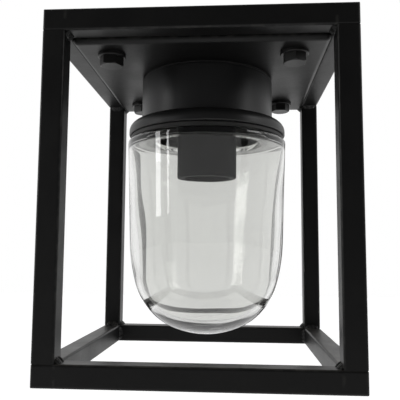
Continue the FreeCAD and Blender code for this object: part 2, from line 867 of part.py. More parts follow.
def housing_screws():
    """Screws from inside the pan down into the housing's bosses."""
    body = new_body("housing_screws")
    radius = d.housing_screw_diameter / 2
    head = d.housing_screw_head_radius
    top = PAN_FLOOR + d.housing_screw_head_height
    crown = d.housing_screw_crown
    screw = turn_profile(body, [
        (0, PAN_FLOOR - d.housing_screw_length),
        (radius, PAN_FLOOR - d.housing_screw_length),
        (radius, PAN_FLOOR),
        (head, PAN_FLOOR),
        (head, top - crown, crown, 1),
        (head - crown, top),
        (0, top),
    ], 0, -d.boss_circle_radius)
    around(body, [screw], BOSS_COUNT)
    place(body)


# ---------------------------------------------------------------- glass jar and its seal


def glass_gasket():
    """The flat ring that rides on the jar's shoulder and seals it to the collar."""
    body = new_body("glass_gasket")
    rim = d.collar_radius - d.glass_gasket_inset
    bore = d.bore_radius
    soft = d.glass_gasket_rounding
    turn_profile(body, [
        (bore, GLASS_SEAT),
        (rim - soft, GLASS_SEAT, soft, 1),
        (rim, GLASS_SEAT + soft),
        (rim, HOUSING_RIM - soft, soft, 1),
        (rim - soft, HOUSING_RIM),
        (bore, HOUSING_RIM),
    ])
    place(body)


def jar_outside():
    """Points of the jar's outside from the shoulder down to the axis.

    The wall leans in by the taper, runs into a long side arc, and that into the dome, whose
    centre lies on the axis. The side arc's radius follows from being tangent to both.
    """
    soft = d.glass_shoulder_rounding
    start_z = GLASS_SEAT - soft
    dome = GLASS_RADIUS - d.dome_step
    dome_z = GLASS_BOTTOM + dome
    lean = d.glass_taper
    reach = GLASS_RADIUS * cosine(lean) - start_z * sine(lean) + dome_z * sine(lean)
    between = cosine(d.dome_angle - lean)
    side = (reach - dome * between) / (1 - between)
    offset = side - dome
    side_x = -offset * cosine(d.dome_angle)
    side_z = dome_z + offset * sine(d.dome_angle)
    return [
        (GLASS_RADIUS, start_z),
        (side_x + side * cosine(lean), side_z - side * sine(lean), side, -1),
        (dome * cosine(d.dome_angle), dome_z - dome * sine(d.dome_angle), dome, -1),
        (0, GLASS_BOTTOM),
    ]


def jar_inside():
    """Points of the jar's inside from the floor's centre up to the inner shoulder."""
    lean = d.inner_taper
    floor_z = GLASS_BOTTOM + d.base_thickness
    wall_x = GLASS_RADIUS - d.glass_wall
    wall_z = GLASS_SEAT - d.glass_shoulder_rounding
    corner = d.floor_corner_radius
    centre_z = floor_z + d.floor_radius
    shift = wall_x * cosine(lean) - wall_z * sine(lean) - corner
    # The corner's centre lies a corner radius inside the wall and inside the floor's arc.
    gap = d.floor_radius - corner
    low = shift + centre_z * sine(lean)
    across = root(gap * gap - low * low)
    corner_x = low * cosine(lean) - across * sine(lean)
    corner_z = centre_z - low * sine(lean) - across * cosine(lean)
    ratio = corner / gap
    floor_x = corner_x + corner_x * ratio
    floor_end_z = corner_z + (corner_z - centre_z) * ratio
    wall_end_x = corner_x + corner * cosine(lean)
    wall_end_z = corner_z - corner * sine(lean)
    inner_top = GLASS_SEAT - d.shoulder_wall
    bend = d.inner_shoulder_rounding
    top_x = wall_x - (wall_z - inner_top) * tangent(lean)
    neck_x = NECK_RADIUS - d.neck_wall
    return [
        (0, floor_z, d.floor_radius, 1),
        (floor_x, floor_end_z, corner, 1),
        (wall_end_x, wall_end_z),
        (top_x, inner_top - bend, bend, 1),
        (top_x - bend, inner_top),
        (neck_x + bend, inner_top, bend, -1),
        (neck_x, inner_top + bend),
    ]


def glass_jar():
    """The pressed jar: threaded neck, shoulder, tapering wall, thick domed base."""
    body = new_body("glass_jar")
    mouth = GLASS_SEAT + d.neck_length
    soft = d.neck_rounding
    neck_x = NECK_RADIUS - d.neck_wall
    outer_soft = d.glass_shoulder_rounding
    points = [
        (neck_x, mouth - soft, soft, -1),
        (neck_x + soft, mouth),
        (NECK_RADIUS - soft, mouth, soft, -1),
        (NECK_RADIUS, mouth - soft),
        (NECK_RADIUS, GLASS_SEAT + soft, soft, 1),
        (NECK_RADIUS + soft, GLASS_SEAT),
        (GLASS_RADIUS - outer_soft, GLASS_SEAT, outer_soft, -1),
    ]
    turn_profile(body, points + jar_outside() + jar_inside())
    place(body)


# ---------------------------------------------------------------- lampholder


def lampholder_skirt():
    """The plain outer sleeve, with a lip inside its mouth that carries the insert."""
    body = new_body("lampholder_skirt")
    outer = d.holder_radius
    inner = outer - d.holder_wall
    mouth = d.skirt_mouth_radius
    lip = mouth + d.skirt_lip_wall
    web_top = HOLDER_BOTTOM + d.holder_wall
    soft = d.skirt_rounding
    turn_profile(body, [
        (mouth, HOLDER_BOTTOM + soft, soft, 1),
        (mouth + soft, HOLDER_BOTTOM),
        (outer - soft, HOLDER_BOTTOM, soft, 1),
        (outer, HOLDER_BOTTOM + soft),
        (outer, SKIRT_TOP),
        (inner, SKIRT_TOP),
        (inner, web_top),
        (lip, web_top),
        (lip, LIP_TOP),
        (mouth, LIP_TOP),
    ])
    place(body)


def lampholder_cap():
    """The dome over the wiring space, with the neck that the nipple screws into."""
    body = new_body("lampholder_cap")
    outer = d.holder_radius
    spigot = outer - d.holder_wall - d.cap_clearance
    inner = spigot - d.cap_wall
    neck = d.cap_neck_radius
    shoulder = SKIRT_TOP + d.cap_shoulder_height
    wall = d.cap_wall
    step = d.cap_slope
    turn_profile(body, [
        (NIPPLE_HOLE_RADIUS, CAP_TOP),
        (NIPPLE_HOLE_RADIUS, shoulder - wall),
        (inner - step, shoulder - wall),
        (inner, shoulder - wall - step),
        (inner, INSERT_TOP),
        (spigot, INSERT_TOP),
        (spigot, SKIRT_TOP),
        (outer, SKIRT_TOP),
        (outer, shoulder - step),
        (outer - step, shoulder),
        (neck, shoulder),
        (neck, CAP_TOP),
    ])
    place(body)


def lampholder_insert():
    """The insulating core on the skirt's lip: it holds the shell, with the contact's chamber above."""
    body = new_body("lampholder_insert")
    outer = d.skirt_mouth_radius + d.skirt_lip_wall - d.insert_clearance
    shell = d.shell_bore_radius + d.shell_wall + d.insert_clearance
    turn_profile(body, [
        (0, CHAMBER_TOP),
        (d.contact_chamber_radius, CHAMBER_TOP),
        (d.contact_chamber_radius, SHELL_TOP),
        (shell, SHELL_TOP),
        (shell, LIP_TOP),
        (outer, LIP_TOP),
        (outer, INSERT_TOP),
        (0, INSERT_TOP),
    ])
    place(body)


def lampholder_shell():
    """The thin screw shell for the lamp's cap, turned in under the insert's floor."""
    body = new_body("lampholder_shell")
    bore = d.shell_bore_radius
    outer = bore + d.shell_wall
    turned_in = bore - d.shell_wall * 2
    turn_profile(body, [
        (bore, LIP_TOP),
        (outer, LIP_TOP),
        (outer, SHELL_TOP),
        (turned_in, SHELL_TOP),
        (turned_in, SHELL_TOP - d.shell_wall),
        (bore, SHELL_TOP - d.shell_wall),
    ])
    place(body)


def centre_terminal():
    """The fixed foot of the centre contact, riveted to the top of its chamber."""
    body = new_body("centre_terminal")
    low = CHAMBER_TOP - d.contact_thickness
    root_x = d.contact_root + d.contact_gap
    foot = new_sketch(body, "XY_Plane", (0, 0, low))
    half = d.contact_width / 2
    add_outline(foot, rectangle(root_x, root_x + d.contact_foot_length, -half, half))
    pad(body, foot, d.contact_thickness)
    middle = root_x + d.contact_foot_length / 2
    rivet = new_sketch(body, "XY_Plane", (0, 0, low - d.contact_thickness))
    add_circle(rivet, middle, 0, d.rivet_radius)
    body.Tip = pad(body, rivet, d.contact_thickness)
    place(body)


def centre_contact():
    """The springy leaf that presses on the lamp's centre contact; it bends at its root."""
    body = new_body("centre_contact")
    thick = d.contact_thickness
    top = CHAMBER_TOP - d.contact_gap
    low = CHAMBER_TOP - d.contact_lift
    tip = d.contact_tip
    profile = new_sketch(body, "XZ_Plane")
    add_outline(profile, [
        (d.contact_root, top),
        (0, low + thick),
        (-tip, low + thick * 2),
        (-tip, low + thick),
        (0, low),
        (d.contact_root, top - thick),
    ])
    pad(body, profile, d.contact_width, symmetric=True)
    place(body)


def lampholder_terminals():
    """Two clamp blocks on top of the insert, one for each lead."""
    body = new_body("lampholder_terminals")
    half = d.holder_terminal_side / 2
    at = d.holder_terminal_offset
    base = new_sketch(body, "XY_Plane", (0, 0, INSERT_TOP))
    add_outline(base, rectangle(at - half, at + half, -half, half))
    around(body, [pad(body, base, d.holder_terminal_height)], 2)
    place(body)


def lampholder_terminal_screws():
    """The clamp screws in the outer sides of the two blocks."""
    body = new_body("lampholder_terminal_screws")
    at = d.holder_terminal_offset + d.holder_terminal_side / 2
    middle = INSERT_TOP + d.holder_terminal_height / 2
    face = new_sketch(body, "YZ_Plane", (0, 0, at))
    add_circle(face, 0, middle, d.holder_screw_radius)
    around(body, [pad(body, face, d.holder_screw_length)], 2)
    place(body)


def holder_nipple():
    """The threaded tube from above the pan down into the lampholder's cap."""
    body = new_body("holder_nipple")
    bore = d.nipple_radius - d.nipple_wall
    low = SKIRT_TOP + d.cap_shoulder_height - d.cap_wall
    turn_profile(body, [
        (bore, low),
        (d.nipple_radius, low),
        (d.nipple_radius, NIPPLE_TOP),
        (bore, NIPPLE_TOP),
    ])
    place(body)


def nipple_nuts():
    """One nut on the pan's floor and one under the housing's top clamp the nipple."""
    body = new_body("nipple_nuts")
    tall = d.nipple_nut_height
    for low, end in ((PAN_FLOOR, "high"), (HOUSING_CEILING - tall, "low")):
        hex_block(body, as_size(0), as_size(0), d.nipple_nut_flats, low, low + tall, end)
    bore = new_sketch(body, "XY_Plane")
    add_circle(bore, 0, 0, NIPPLE_HOLE_RADIUS)
    body.Tip = cut_through(body, bore)
    place(body)


# ---------------------------------------------------------------- wiring inside the pan


def terminal_block():
    """A three-pole connection block: a base, three wire barrels and two screw towers each."""
    body = new_body("terminal_block")
    middle = d.block_y
    half_y = d.block_depth / 2
    base = new_sketch(body, "XY_Plane", (0, 0, PAN_FLOOR))
    half_x = d.block_length / 2
    add_outline(base, rectangle(-half_x, half_x, middle - half_y, middle + half_y))
    pad(body, base, d.block_base_height)
    wire_z = PAN_FLOOR + d.block_barrel_height
    first = -d.block_pitch
    all_poles = d.block_pitch * (POLE_COUNT - 1)
    barrel = new_sketch(body, "XZ_Plane", (0, 0, -(middle + half_y)))
    add_circle(barrel, first, wire_z, d.block_barrel_radius)
    barrel_pad = pad(body, barrel, d.block_depth)
    tower_sketch = new_sketch(body, "XY_Plane", (0, 0, wire_z))
    for side in (-1, 1):
        at = middle + d.block_tower_spacing / 2 * side
        add_circle(tower_sketch, first, at, d.block_tower_radius)
    tower = pad(body, tower_sketch, d.block_height - d.block_barrel_height)
    along(body, [barrel_pad, tower], "X_Axis", all_poles, POLE_COUNT)
    web_sketch = new_sketch(body, "XY_Plane", (0, 0, PAN_FLOOR))
    between = d.block_pitch / 2
    thin = between - d.block_tower_radius
    low_y = middle - d.block_web_half
    add_outline(web_sketch, rectangle(-between - thin, thin - between, low_y, middle + d.block_web_half))
    web = pad(body, web_sketch, d.block_web_height)
    solid = along(body, [web], "X_Axis", d.block_pitch, 2)
    doc.recompute()
    filled = solid.Shape.Volume
    wire_bore = new_sketch(body, "XZ_Plane")
    add_circle(wire_bore, first, wire_z, d.block_bore_radius)
    wires = cut_through(body, wire_bore)
    screw_bore = new_sketch(body, "XY_Plane", (0, 0, PAN_FLOOR + d.block_height))
    for side in (-1, 1):
        at = middle + d.block_tower_spacing / 2 * side
        add_circle(screw_bore, first, at, d.block_screw_radius + d.thread_clearance)
    screws = cut_down(body, screw_bore, d.block_screw_depth)
    along(body, [wires, screws], "X_Axis", all_poles, POLE_COUNT)
    fixing = new_sketch(body, "XY_Plane")
    add_circle(fixing, -between, middle, d.fixing_screw_radius + d.thread_clearance)
    along(body, [cut_through(body, fixing)], "X_Axis", d.block_pitch, 2)
    doc.recompute()
    assert body.Shape.Volume < filled
    place(body)


def terminal_block_screws():
    """The six clamp screws, sunk in the block's towers."""
    body = new_body("terminal_block_screws")
    first = -d.block_pitch
    low = PAN_FLOOR + d.block_height - d.block_screw_depth
    sketch = new_sketch(body, "XY_Plane", (0, 0, low))
    for side in (-1, 1):
        at = d.block_y + d.block_tower_spacing / 2 * side
        add_circle(sketch, first, at, d.block_screw_radius)
    screw = pad(body, sketch, d.block_screw_length)
    along(body, [screw], "X_Axis", d.block_pitch * (POLE_COUNT - 1), POLE_COUNT)
    place(body)


def small_screw(label, x, y, seat, tip, radius, head_radius, head_height):
    """A cheese-head screw that stands on a seat."""
    body = new_body(label)
    crown = d.small_screw_crown
    turn_profile(body, [
        (0, tip),
        (radius, tip),
        (radius, seat),
        (head_radius, seat),
        (head_radius, seat + head_height - crown, crown, 1),
        (head_radius - crown, seat + head_height),
        (0, seat + head_height),
    ], x, y)
    place(body)


def earth_tag():
    """The ring tag under the earth screw, crimped on the earth lead."""
    body = new_body("earth_tag")
    sketch = new_sketch(body, "XY_Plane", (0, 0, PAN_FLOOR))
    add_circle(sketch, d.earth_x, d.earth_y, d.earth_tag_radius)
    add_circle(sketch, d.earth_x, d.earth_y, d.earth_screw_radius + d.thread_clearance)
    pad(body, sketch, d.earth_tag_thickness)
    place(body)


def lead(label, route):
    """An insulated lead along straight runs joined by tangent arcs."""
    points = [FreeCAD.Vector(*[as_size(c).value for c in point]) for point in route]
    edges = []
    radii = []
    start = points[0]
    for before, corner, after in zip(points, points[1:], points[2:]):
        inward = (corner - before).normalize()
        outward = (after - corner).normalize()
        half_turn = inward.getAngle(outward) / 2
        trim = RUN_SHARE * min((corner - before).Length, (after - corner).Length)
        radius = trim / math.tan(half_turn)
        radii.append(round(radius, 1))
        enter = corner - inward * trim
        leave = corner + outward * trim
        inside = (outward - inward).normalize()
        middle = corner + inside * (radius / math.cos(half_turn) - radius)
        edges.append(Part.makeLine(start, enter))
        edges.append(Part.Arc(enter, middle, leave).toShape())
        start = leave
    edges.append(Part.makeLine(start, points[-1]))
    length = sum(edge.Length for edge in edges)
    radius = d.wire_radius.value
    section = Part.Wire(Part.makeCircle(radius, points[0], points[1] - points[0]))
    tube = Part.Wire(edges).makePipeShell([section], True, False)
    expected = math.pi * radius ** 2 * length
    assert abs(tube.Volume - expected) < expected * VOLUME_SLACK
    print(label, "radii", radii, "length", round(length, 1))
    piece = keep(doc.addObject("Part::Feature", label))
    piece.Label = label
    piece.Shape = tube
    piece.Placement = FreeCAD.Placement()


def leads():
    """The two lamp leads go down the nipple to the lampholder, the third to the earth tag."""
    wire_z = PAN_FLOOR + d.block_barrel_height
    in_block = d.block_y - d.block_tower_spacing / 2
    near = d.block_y - d.block_depth / 2
    arch = NIPPLE_TOP + d.lead_arch_height
    terminal_top = INSERT_TOP + d.holder_terminal_height
    for label, side in (("live_lead", -1), ("neutral_lead", 1)):
        lead(label, [
            (d.block_pitch * side, in_block, wire_z),
            (d.block_pitch * side, near - d.lead_exit, wire_z),
            (d.block_pitch / 2 * side, d.lead_gather_y, arch),
            (d.wire_spread * side, 0, arch),
            (d.wire_spread * side, 0, terminal_top + d.lead_split_height),
            (d.holder_terminal_offset * side, 0, terminal_top + d.lead_end_rise),
            (d.holder_terminal_offset * side, 0, terminal_top),
        ])
    tag_z = PAN_FLOOR + d.earth_tag_thickness + d.wire_radius
    lead("earth_lead", [
        (0, in_block, wire_z),
        (0, near - d.earth_lead_exit, wire_z),
        (d.earth_bend_x, d.earth_bend_y, wire_z),
        (d.earth_x, d.earth_landing_y, tag_z),
        (d.earth_x, d.earth_y + d.earth_screw_head_radius + d.earth_lead_gap, tag_z),
    ])


# ---------------------------------------------------------------- whole lantern


def build_lantern():
    build_cage()
    canopy_pan()
    pan_welds()
    ceiling_bracket()
    weld_nuts()
    fixing_bolts()
    fixing_washers()
    housing_gasket()
    lamp_housing()
    housing_screws()
    glass_gasket()
    glass_jar()
    lampholder_skirt()
    lampholder_cap()
    lampholder_insert()
    lampholder_shell()
    centre_terminal()
    centre_contact()
    lampholder_terminals()
    lampholder_terminal_screws()
    holder_nipple()
    nipple_nuts()
    terminal_block()
    terminal_block_screws()
    small_screw("terminal_block_fixing", d.block_pitch / 2, d.block_y,
                PAN_FLOOR + d.block_web_height, PAN_UNDER, d.fixing_screw_radius,
                d.fixing_screw_head_radius, d.fixing_screw_head_height)
    earth_tag()
    small_screw("earth_screw", d.earth_x, d.earth_y, PAN_FLOOR + d.earth_tag_thickness,
                PAN_UNDER, d.earth_screw_radius, d.earth_screw_head_radius,
                d.earth_screw_head_height)
    leads()
    doc.recompute()


def check_and_write():
    """Stop on any failed object or bad shape, then write one file for each piece."""
    for obj in doc.Objects:
        assert "Invalid" not in obj.State and "Error" not in obj.State, (obj.Label, obj.State)
    for piece in kept:
        shape = piece.Shape
        assert not shape.isNull() and shape.isValid(), piece.Label
        assert shape.Solids, piece.Label
    os.makedirs("parts", exist_ok=True)
    for piece in kept:
        piece.Shape.exportStep(f"parts/{piece.Label}.step")
    print("pieces", len(kept))


build_lantern()
check_and_write()
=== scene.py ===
import json
import math

import bmesh
import bpy
from mathutils import Matrix, Vector


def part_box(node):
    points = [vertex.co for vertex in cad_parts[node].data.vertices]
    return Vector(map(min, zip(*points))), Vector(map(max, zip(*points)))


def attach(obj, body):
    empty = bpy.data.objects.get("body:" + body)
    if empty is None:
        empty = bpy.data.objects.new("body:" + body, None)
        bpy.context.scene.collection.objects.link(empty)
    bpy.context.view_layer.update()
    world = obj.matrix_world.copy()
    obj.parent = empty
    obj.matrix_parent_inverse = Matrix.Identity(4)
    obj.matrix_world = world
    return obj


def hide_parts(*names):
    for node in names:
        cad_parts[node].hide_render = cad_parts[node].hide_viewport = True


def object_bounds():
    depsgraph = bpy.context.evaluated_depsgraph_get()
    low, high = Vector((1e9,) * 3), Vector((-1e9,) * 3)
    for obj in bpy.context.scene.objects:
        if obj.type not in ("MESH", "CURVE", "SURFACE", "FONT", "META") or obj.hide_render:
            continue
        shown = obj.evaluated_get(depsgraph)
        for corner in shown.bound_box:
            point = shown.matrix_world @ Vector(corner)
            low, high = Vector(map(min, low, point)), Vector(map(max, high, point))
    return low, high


# The looks of a porch ceiling lantern: a welded cage of square tube in black powder coat, a
# folded pan with hex bolts, a cast housing and a clear glass jar round a lampholder.
# Sizes are in millimetres and turned into metres where a mesh is made. The stage is in metres.

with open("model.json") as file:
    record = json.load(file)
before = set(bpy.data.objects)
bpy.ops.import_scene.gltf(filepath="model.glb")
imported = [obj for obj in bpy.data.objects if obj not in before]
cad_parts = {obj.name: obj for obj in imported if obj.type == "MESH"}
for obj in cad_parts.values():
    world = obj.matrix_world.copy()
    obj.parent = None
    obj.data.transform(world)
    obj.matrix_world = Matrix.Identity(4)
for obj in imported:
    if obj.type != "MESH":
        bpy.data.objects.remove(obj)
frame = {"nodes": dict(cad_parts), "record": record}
cad_box = [list(corner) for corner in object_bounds()]
NODES = frame["nodes"]

MM = 0.001
WHITE = (1.0, 1.0, 1.0, 1.0)
BLACK = (0.0, 0.0, 0.0, 1.0)


def extent(node):
    """Lowest and highest corner of a node, in millimetres."""
    low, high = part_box(node)
    return low / MM, high / MM


# The cage's square tubes: their outer and inner faces, and the rings' under and upper sides.
TUBE_OUTER = extent("top_rail_front")[1].x
TUBE_INNER = -extent("top_rail_front")[1].y
TUBE_ROUNDING = 1.4
TOP_RING = [corner.z for corner in extent("top_rail_front")]
BOTTOM_RING = [corner.z for corner in extent("bottom_rail_front")]
JAR_LOW, JAR_HIGH = extent("glass_jar")


# ---------------------------------------------------------------- shader nodes


class Wire:
    """A socket of a tree of nodes; arithmetic on it adds Math nodes."""

    def __init__(self, nodes, socket):
        self.nodes = nodes
        self.socket = socket

    def __add__(self, other):
        return self.nodes.maths("ADD", self, other)

    def __radd__(self, other):
        return self.nodes.maths("ADD", other, self)

    def __sub__(self, other):
        return self.nodes.maths("SUBTRACT", self, other)

    def __rsub__(self, other):
        return self.nodes.maths("SUBTRACT", other, self)

    def __mul__(self, other):
        return self.nodes.maths("MULTIPLY", self, other)

    def __rmul__(self, other):
        return self.nodes.maths("MULTIPLY", other, self)

    def __abs__(self):
        return self.nodes.maths("ABSOLUTE", self)


class Nodes:
    """A tree of shader nodes and the ways to add to it."""

    def __init__(self, tree):
        self.tree = tree

    def feed(self, node, key, value):
        """Link or set one input, found by its name, its identifier or its number."""
        if isinstance(key, int):
            socket = node.inputs[key]
        else:
            socket = next(s for s in node.inputs if key in (s.identifier, s.name))
        if isinstance(value, Wire):
            self.tree.links.new(value.socket, socket)
        else:
            socket.default_value = value

    def node(self, kind, settings=None, inputs=None, output=0):
        """Any node: its settings first, then the values or links of its inputs."""
        made = self.tree.nodes.new(f"ShaderNode{kind}")
        for name, setting in (settings or {}).items():
            setattr(made, name, setting)
        for key, value in (inputs or {}).items():
            self.feed(made, key, value)
        return Wire(self, made.outputs[output])

    def maths(self, operation, *terms):
        """A Math node on numbers and wires."""
        return self.node("Math", {"operation": operation}, dict(enumerate(terms)))

    def smooth(self, value, low, high):
        """0 below low, 1 above high, with a soft step between them."""
        settings = {"interpolation_type": "SMOOTHSTEP"}
        inputs = {"Value": value, "From Min": low, "From Max": high}
        return self.node("MapRange", settings, inputs)

    def mix(self, share, first, second):
        """Blend two colours."""
        inputs = {"Factor_Float": share, "A_Color": first, "B_Color": second}
        made = self.node("Mix", {"data_type": "RGBA"}, inputs)
        outputs = made.socket.node.outputs
        return Wire(self, next(s for s in outputs if s.identifier == "Result_Color"))

    def place(self):
        """The point on the piece, in metres of the lantern's own frame."""
        return self.node("TexCoord", output="Object")

    def stretch(self, vector, scales):
        """A vector scaled along its three axes, so that grain on it runs long."""
        inputs = {0: vector, 1: scales}
        return self.node("VectorMath", {"operation": "MULTIPLY"}, inputs)

    def parts(self, vector):
        """The three coordinates of a vector as numbers."""
        split = self.node("SeparateXYZ", inputs={0: vector}).socket.node
        return [Wire(self, split.outputs[axis]) for axis in "XYZ"]

    def grain(self, size, detail=2.0, roughness=0.5, vector=None):
        """Cloudy noise whose blobs are about size millimetres across."""
        inputs = {
            "Vector": vector or self.place(),
            "Scale": 1 / (size * MM),
            "Detail": detail,
            "Roughness": roughness,
        }
        return self.node("TexNoise", inputs=inputs)

    def bump(self, height, depth, under=None):
        """Relief of depth millimetres from a height between 0 and 1."""
        inputs = {"Height": height, "Distance": depth * MM, "Strength": 1.0}
        if under:
            inputs["Normal"] = under
        return self.node("Bump", inputs=inputs)


class Finish(Nodes):
    """A material in the making: its nodes and the shader that they feed."""

    def __init__(self, name, constants=None):
        self.material = bpy.data.materials.new(name)
        self.material.use_nodes = True
        super().__init__(self.material.node_tree)
        self.shader = self.tree.nodes["Principled BSDF"]
        for socket, number in (constants or {}).items():
            self.shader.inputs[socket].default_value = number

    def set(self, **sockets):
        """Feed the shader; base_color stands for Base Color and so on."""
        for name, value in sockets.items():
            self.feed(self.shader, name.replace("_", " ").title(), value)
        return self.material


# ---------------------------------------------------------------- finishes

RUBBED = (0.022, 0.0215, 0.020, 1.0)
RUBBED_SHARE = 0.8
EDGE_WIDTH = 1.6
SCUFF_SIZE = 7
WARM_DUST = (0.060, 0.055, 0.047, 1.0)
DUST_SHARE = 0.75
TOP_DUST_SHARE = 0.14
STREAK_SIZE = 5
STREAK_SQUEEZE = 0.3
COAT_CLOUD_SIZE = 26
COAT_DENT_SIZE = 9
COAT_DENT_DEPTH = 0.10
PEEL_SIZE = 1.1
SPECK_SIZE = 0.5
SPECK_SHARE = 0.35
TOP_DUST_SIZE = 30
TARNISH_SIZE = 5
TURNING_SIZE = 0.6
TURNING_DEPTH = 0.02
FLOW_SIZE = 7
GLASS_TINT = (0.795, 0.797, 0.785, 1.0)
GLASS_TINT_DEEP = (0.775, 0.780, 0.76, 1.0)
GLASS_WAVE_SIZE = 30
GLASS_WAVE_DEPTH = 0.12
CHILL_SIZE = 4
CHILL_DEPTH = 0.2
CHILL_LOW, CHILL_HIGH = 1.5, 6.0


def near(finish, value, places, width):
    """1 where value, in metres, is at one of the places in millimetres, and 0 past the width."""
    found = 0.0
    for place in places:
        close = 1 - finish.smooth(abs(value - place * MM), 0.0, width * MM)
        found = finish.maths("MAXIMUM", found, close)
    return found


def cage_edges(coat):
    """The rubbed edges of the square tubes, broken up by scuffs."""
    x, y, z = coat.parts(coat.place())
    sides = [TUBE_OUTER, TUBE_INNER]
    across = near(coat, abs(x), sides, EDGE_WIDTH)
    deep = near(coat, abs(y), sides, EDGE_WIDTH)
    level = near(coat, z, TOP_RING + BOTTOM_RING, EDGE_WIDTH)
    on_x = 1 - coat.smooth(abs(x), (TUBE_INNER - 1) * MM, TUBE_INNER * MM)
    on_y = 1 - coat.smooth(abs(y), (TUBE_INNER - 1) * MM, TUBE_INNER * MM)
    along = coat.maths("MAXIMUM", across * level * on_y, deep * level * on_x)
    edge = coat.maths("MAXIMUM", across * deep, along)
    return edge * coat.smooth(coat.grain(SCUFF_SIZE, 4.0), 0.46, 0.60)


def settled_dust(coat):
    """Warm dust on the faces that look up: streaks on the low rails, a thin cloud at the top."""
    up = coat.parts(coat.node("NewGeometry", output="Normal"))[2]
    x, y, z = coat.parts(coat.place())
    long_x = coat.stretch(coat.place(), (STREAK_SQUEEZE, 1.0, 1.0))
    long_y = coat.stretch(coat.place(), (1.0, STREAK_SQUEEZE, 1.0))
    along_x = coat.grain(STREAK_SIZE, 3.0, vector=long_x)
    along_y = coat.grain(STREAK_SIZE, 3.0, vector=long_y)
    on_side = coat.smooth(abs(x), (TUBE_INNER - 0.5) * MM, TUBE_INNER * MM)
    streak = coat.smooth(along_x + (along_y - along_x) * on_side, 0.25, 0.85)
    low = 1 - coat.smooth(z, (BOTTOM_RING[1] + 5) * MM, (BOTTOM_RING[1] + 20) * MM)
    cloud = coat.smooth(coat.grain(TOP_DUST_SIZE, 2.0), 0.35, 0.8) * TOP_DUST_SHARE
    return coat.smooth(up, 0.4, 0.9) * (cloud + (streak - cloud) * low)


def powder_coat(name, colour, dust, roughness, specular, peel=0.03, worn=False):
    """Satin black powder coat: orange peel, faint cloudiness, settled dust and rubbed edges."""
    coat = Finish(name, {"Specular IOR Level": specular})
    cloud = coat.grain(COAT_CLOUD_SIZE, 3.0)
    fine = coat.grain(PEEL_SIZE, 2.0)
    speck = coat.smooth(coat.grain(SPECK_SIZE, 1.0), 0.66, 0.72)
    base = coat.mix(cloud, colour, dust)
    base = coat.mix(speck * SPECK_SHARE, base, dust)
    if worn:
        base = coat.mix(cage_edges(coat) * RUBBED_SHARE, base, RUBBED)
    base = coat.mix(settled_dust(coat) * DUST_SHARE, base, WARM_DUST)
    rough = roughness + (cloud - 0.5) * 0.16 + (fine - 0.5) * 0.10
    relief = coat.bump(fine, peel)
    relief = coat.bump(coat.grain(COAT_DENT_SIZE, 2.0), COAT_DENT_DEPTH, relief)
    return coat.set(base_color=base, roughness=rough, normal=relief)


def metal(name, colour, tarnish, roughness):
    """Plain or plated metal with fine turning marks and darker patches."""
    finish = Finish(name, {"Metallic": 1.0})
    patch = finish.smooth(finish.grain(TARNISH_SIZE, 4.0), 0.42, 0.68)
    fine = finish.grain(TURNING_SIZE, 3.0)
    base = finish.mix(patch, colour, tarnish)
    rough = roughness + patch * 0.12 + (fine - 0.5) * 0.16
    relief = finish.bump(fine, TURNING_DEPTH)
    return finish.set(base_color=base, roughness=rough, normal=relief)


def moulded(name, colour, mark, roughness, grain_size=0.4, depth=0.02, specular=0.5):
    """Moulded or rubber surface: fine grain, flow clouds and a little dust."""
    finish = Finish(name, {"Specular IOR Level": specular})
    cloud = finish.grain(FLOW_SIZE, 3.0)
    fine = finish.grain(grain_size, 2.0)
    base = finish.mix(finish.smooth(cloud, 0.35, 0.75), colour, mark)
    rough = roughness + (cloud - 0.5) * 0.12 + (fine - 0.5) * 0.12
    return finish.set(base_color=base, roughness=rough, normal=finish.bump(fine, depth))


def clear_glass():
    """Pressed glass, faintly grey-green, with slow waves and chill marks low in its base."""
    constants = {"Roughness": 0.0, "IOR": 1.5, "Transmission Weight": 1.0}
    glass = Finish("clear_glass", constants)
    tall = glass.stretch(glass.place(), (1.0, 1.0, 0.35))
    wave = glass.grain(GLASS_WAVE_SIZE, 1.0, vector=tall)
    tint = glass.mix(wave, GLASS_TINT, GLASS_TINT_DEEP)
    z = glass.parts(glass.place())[2]
    in_base = 1 - glass.smooth(z, (JAR_LOW.z + CHILL_LOW) * MM, (JAR_LOW.z + CHILL_HIGH) * MM)
    wide = glass.stretch(glass.place(), (0.3, 1.0, 1.0))
    chill = glass.smooth(glass.grain(CHILL_SIZE, 2.0, vector=wide), 0.58, 0.66) * in_base
    relief = glass.bump(chill, CHILL_DEPTH, glass.bump(wave, GLASS_WAVE_DEPTH))
    return glass.set(base_color=tint, normal=relief)


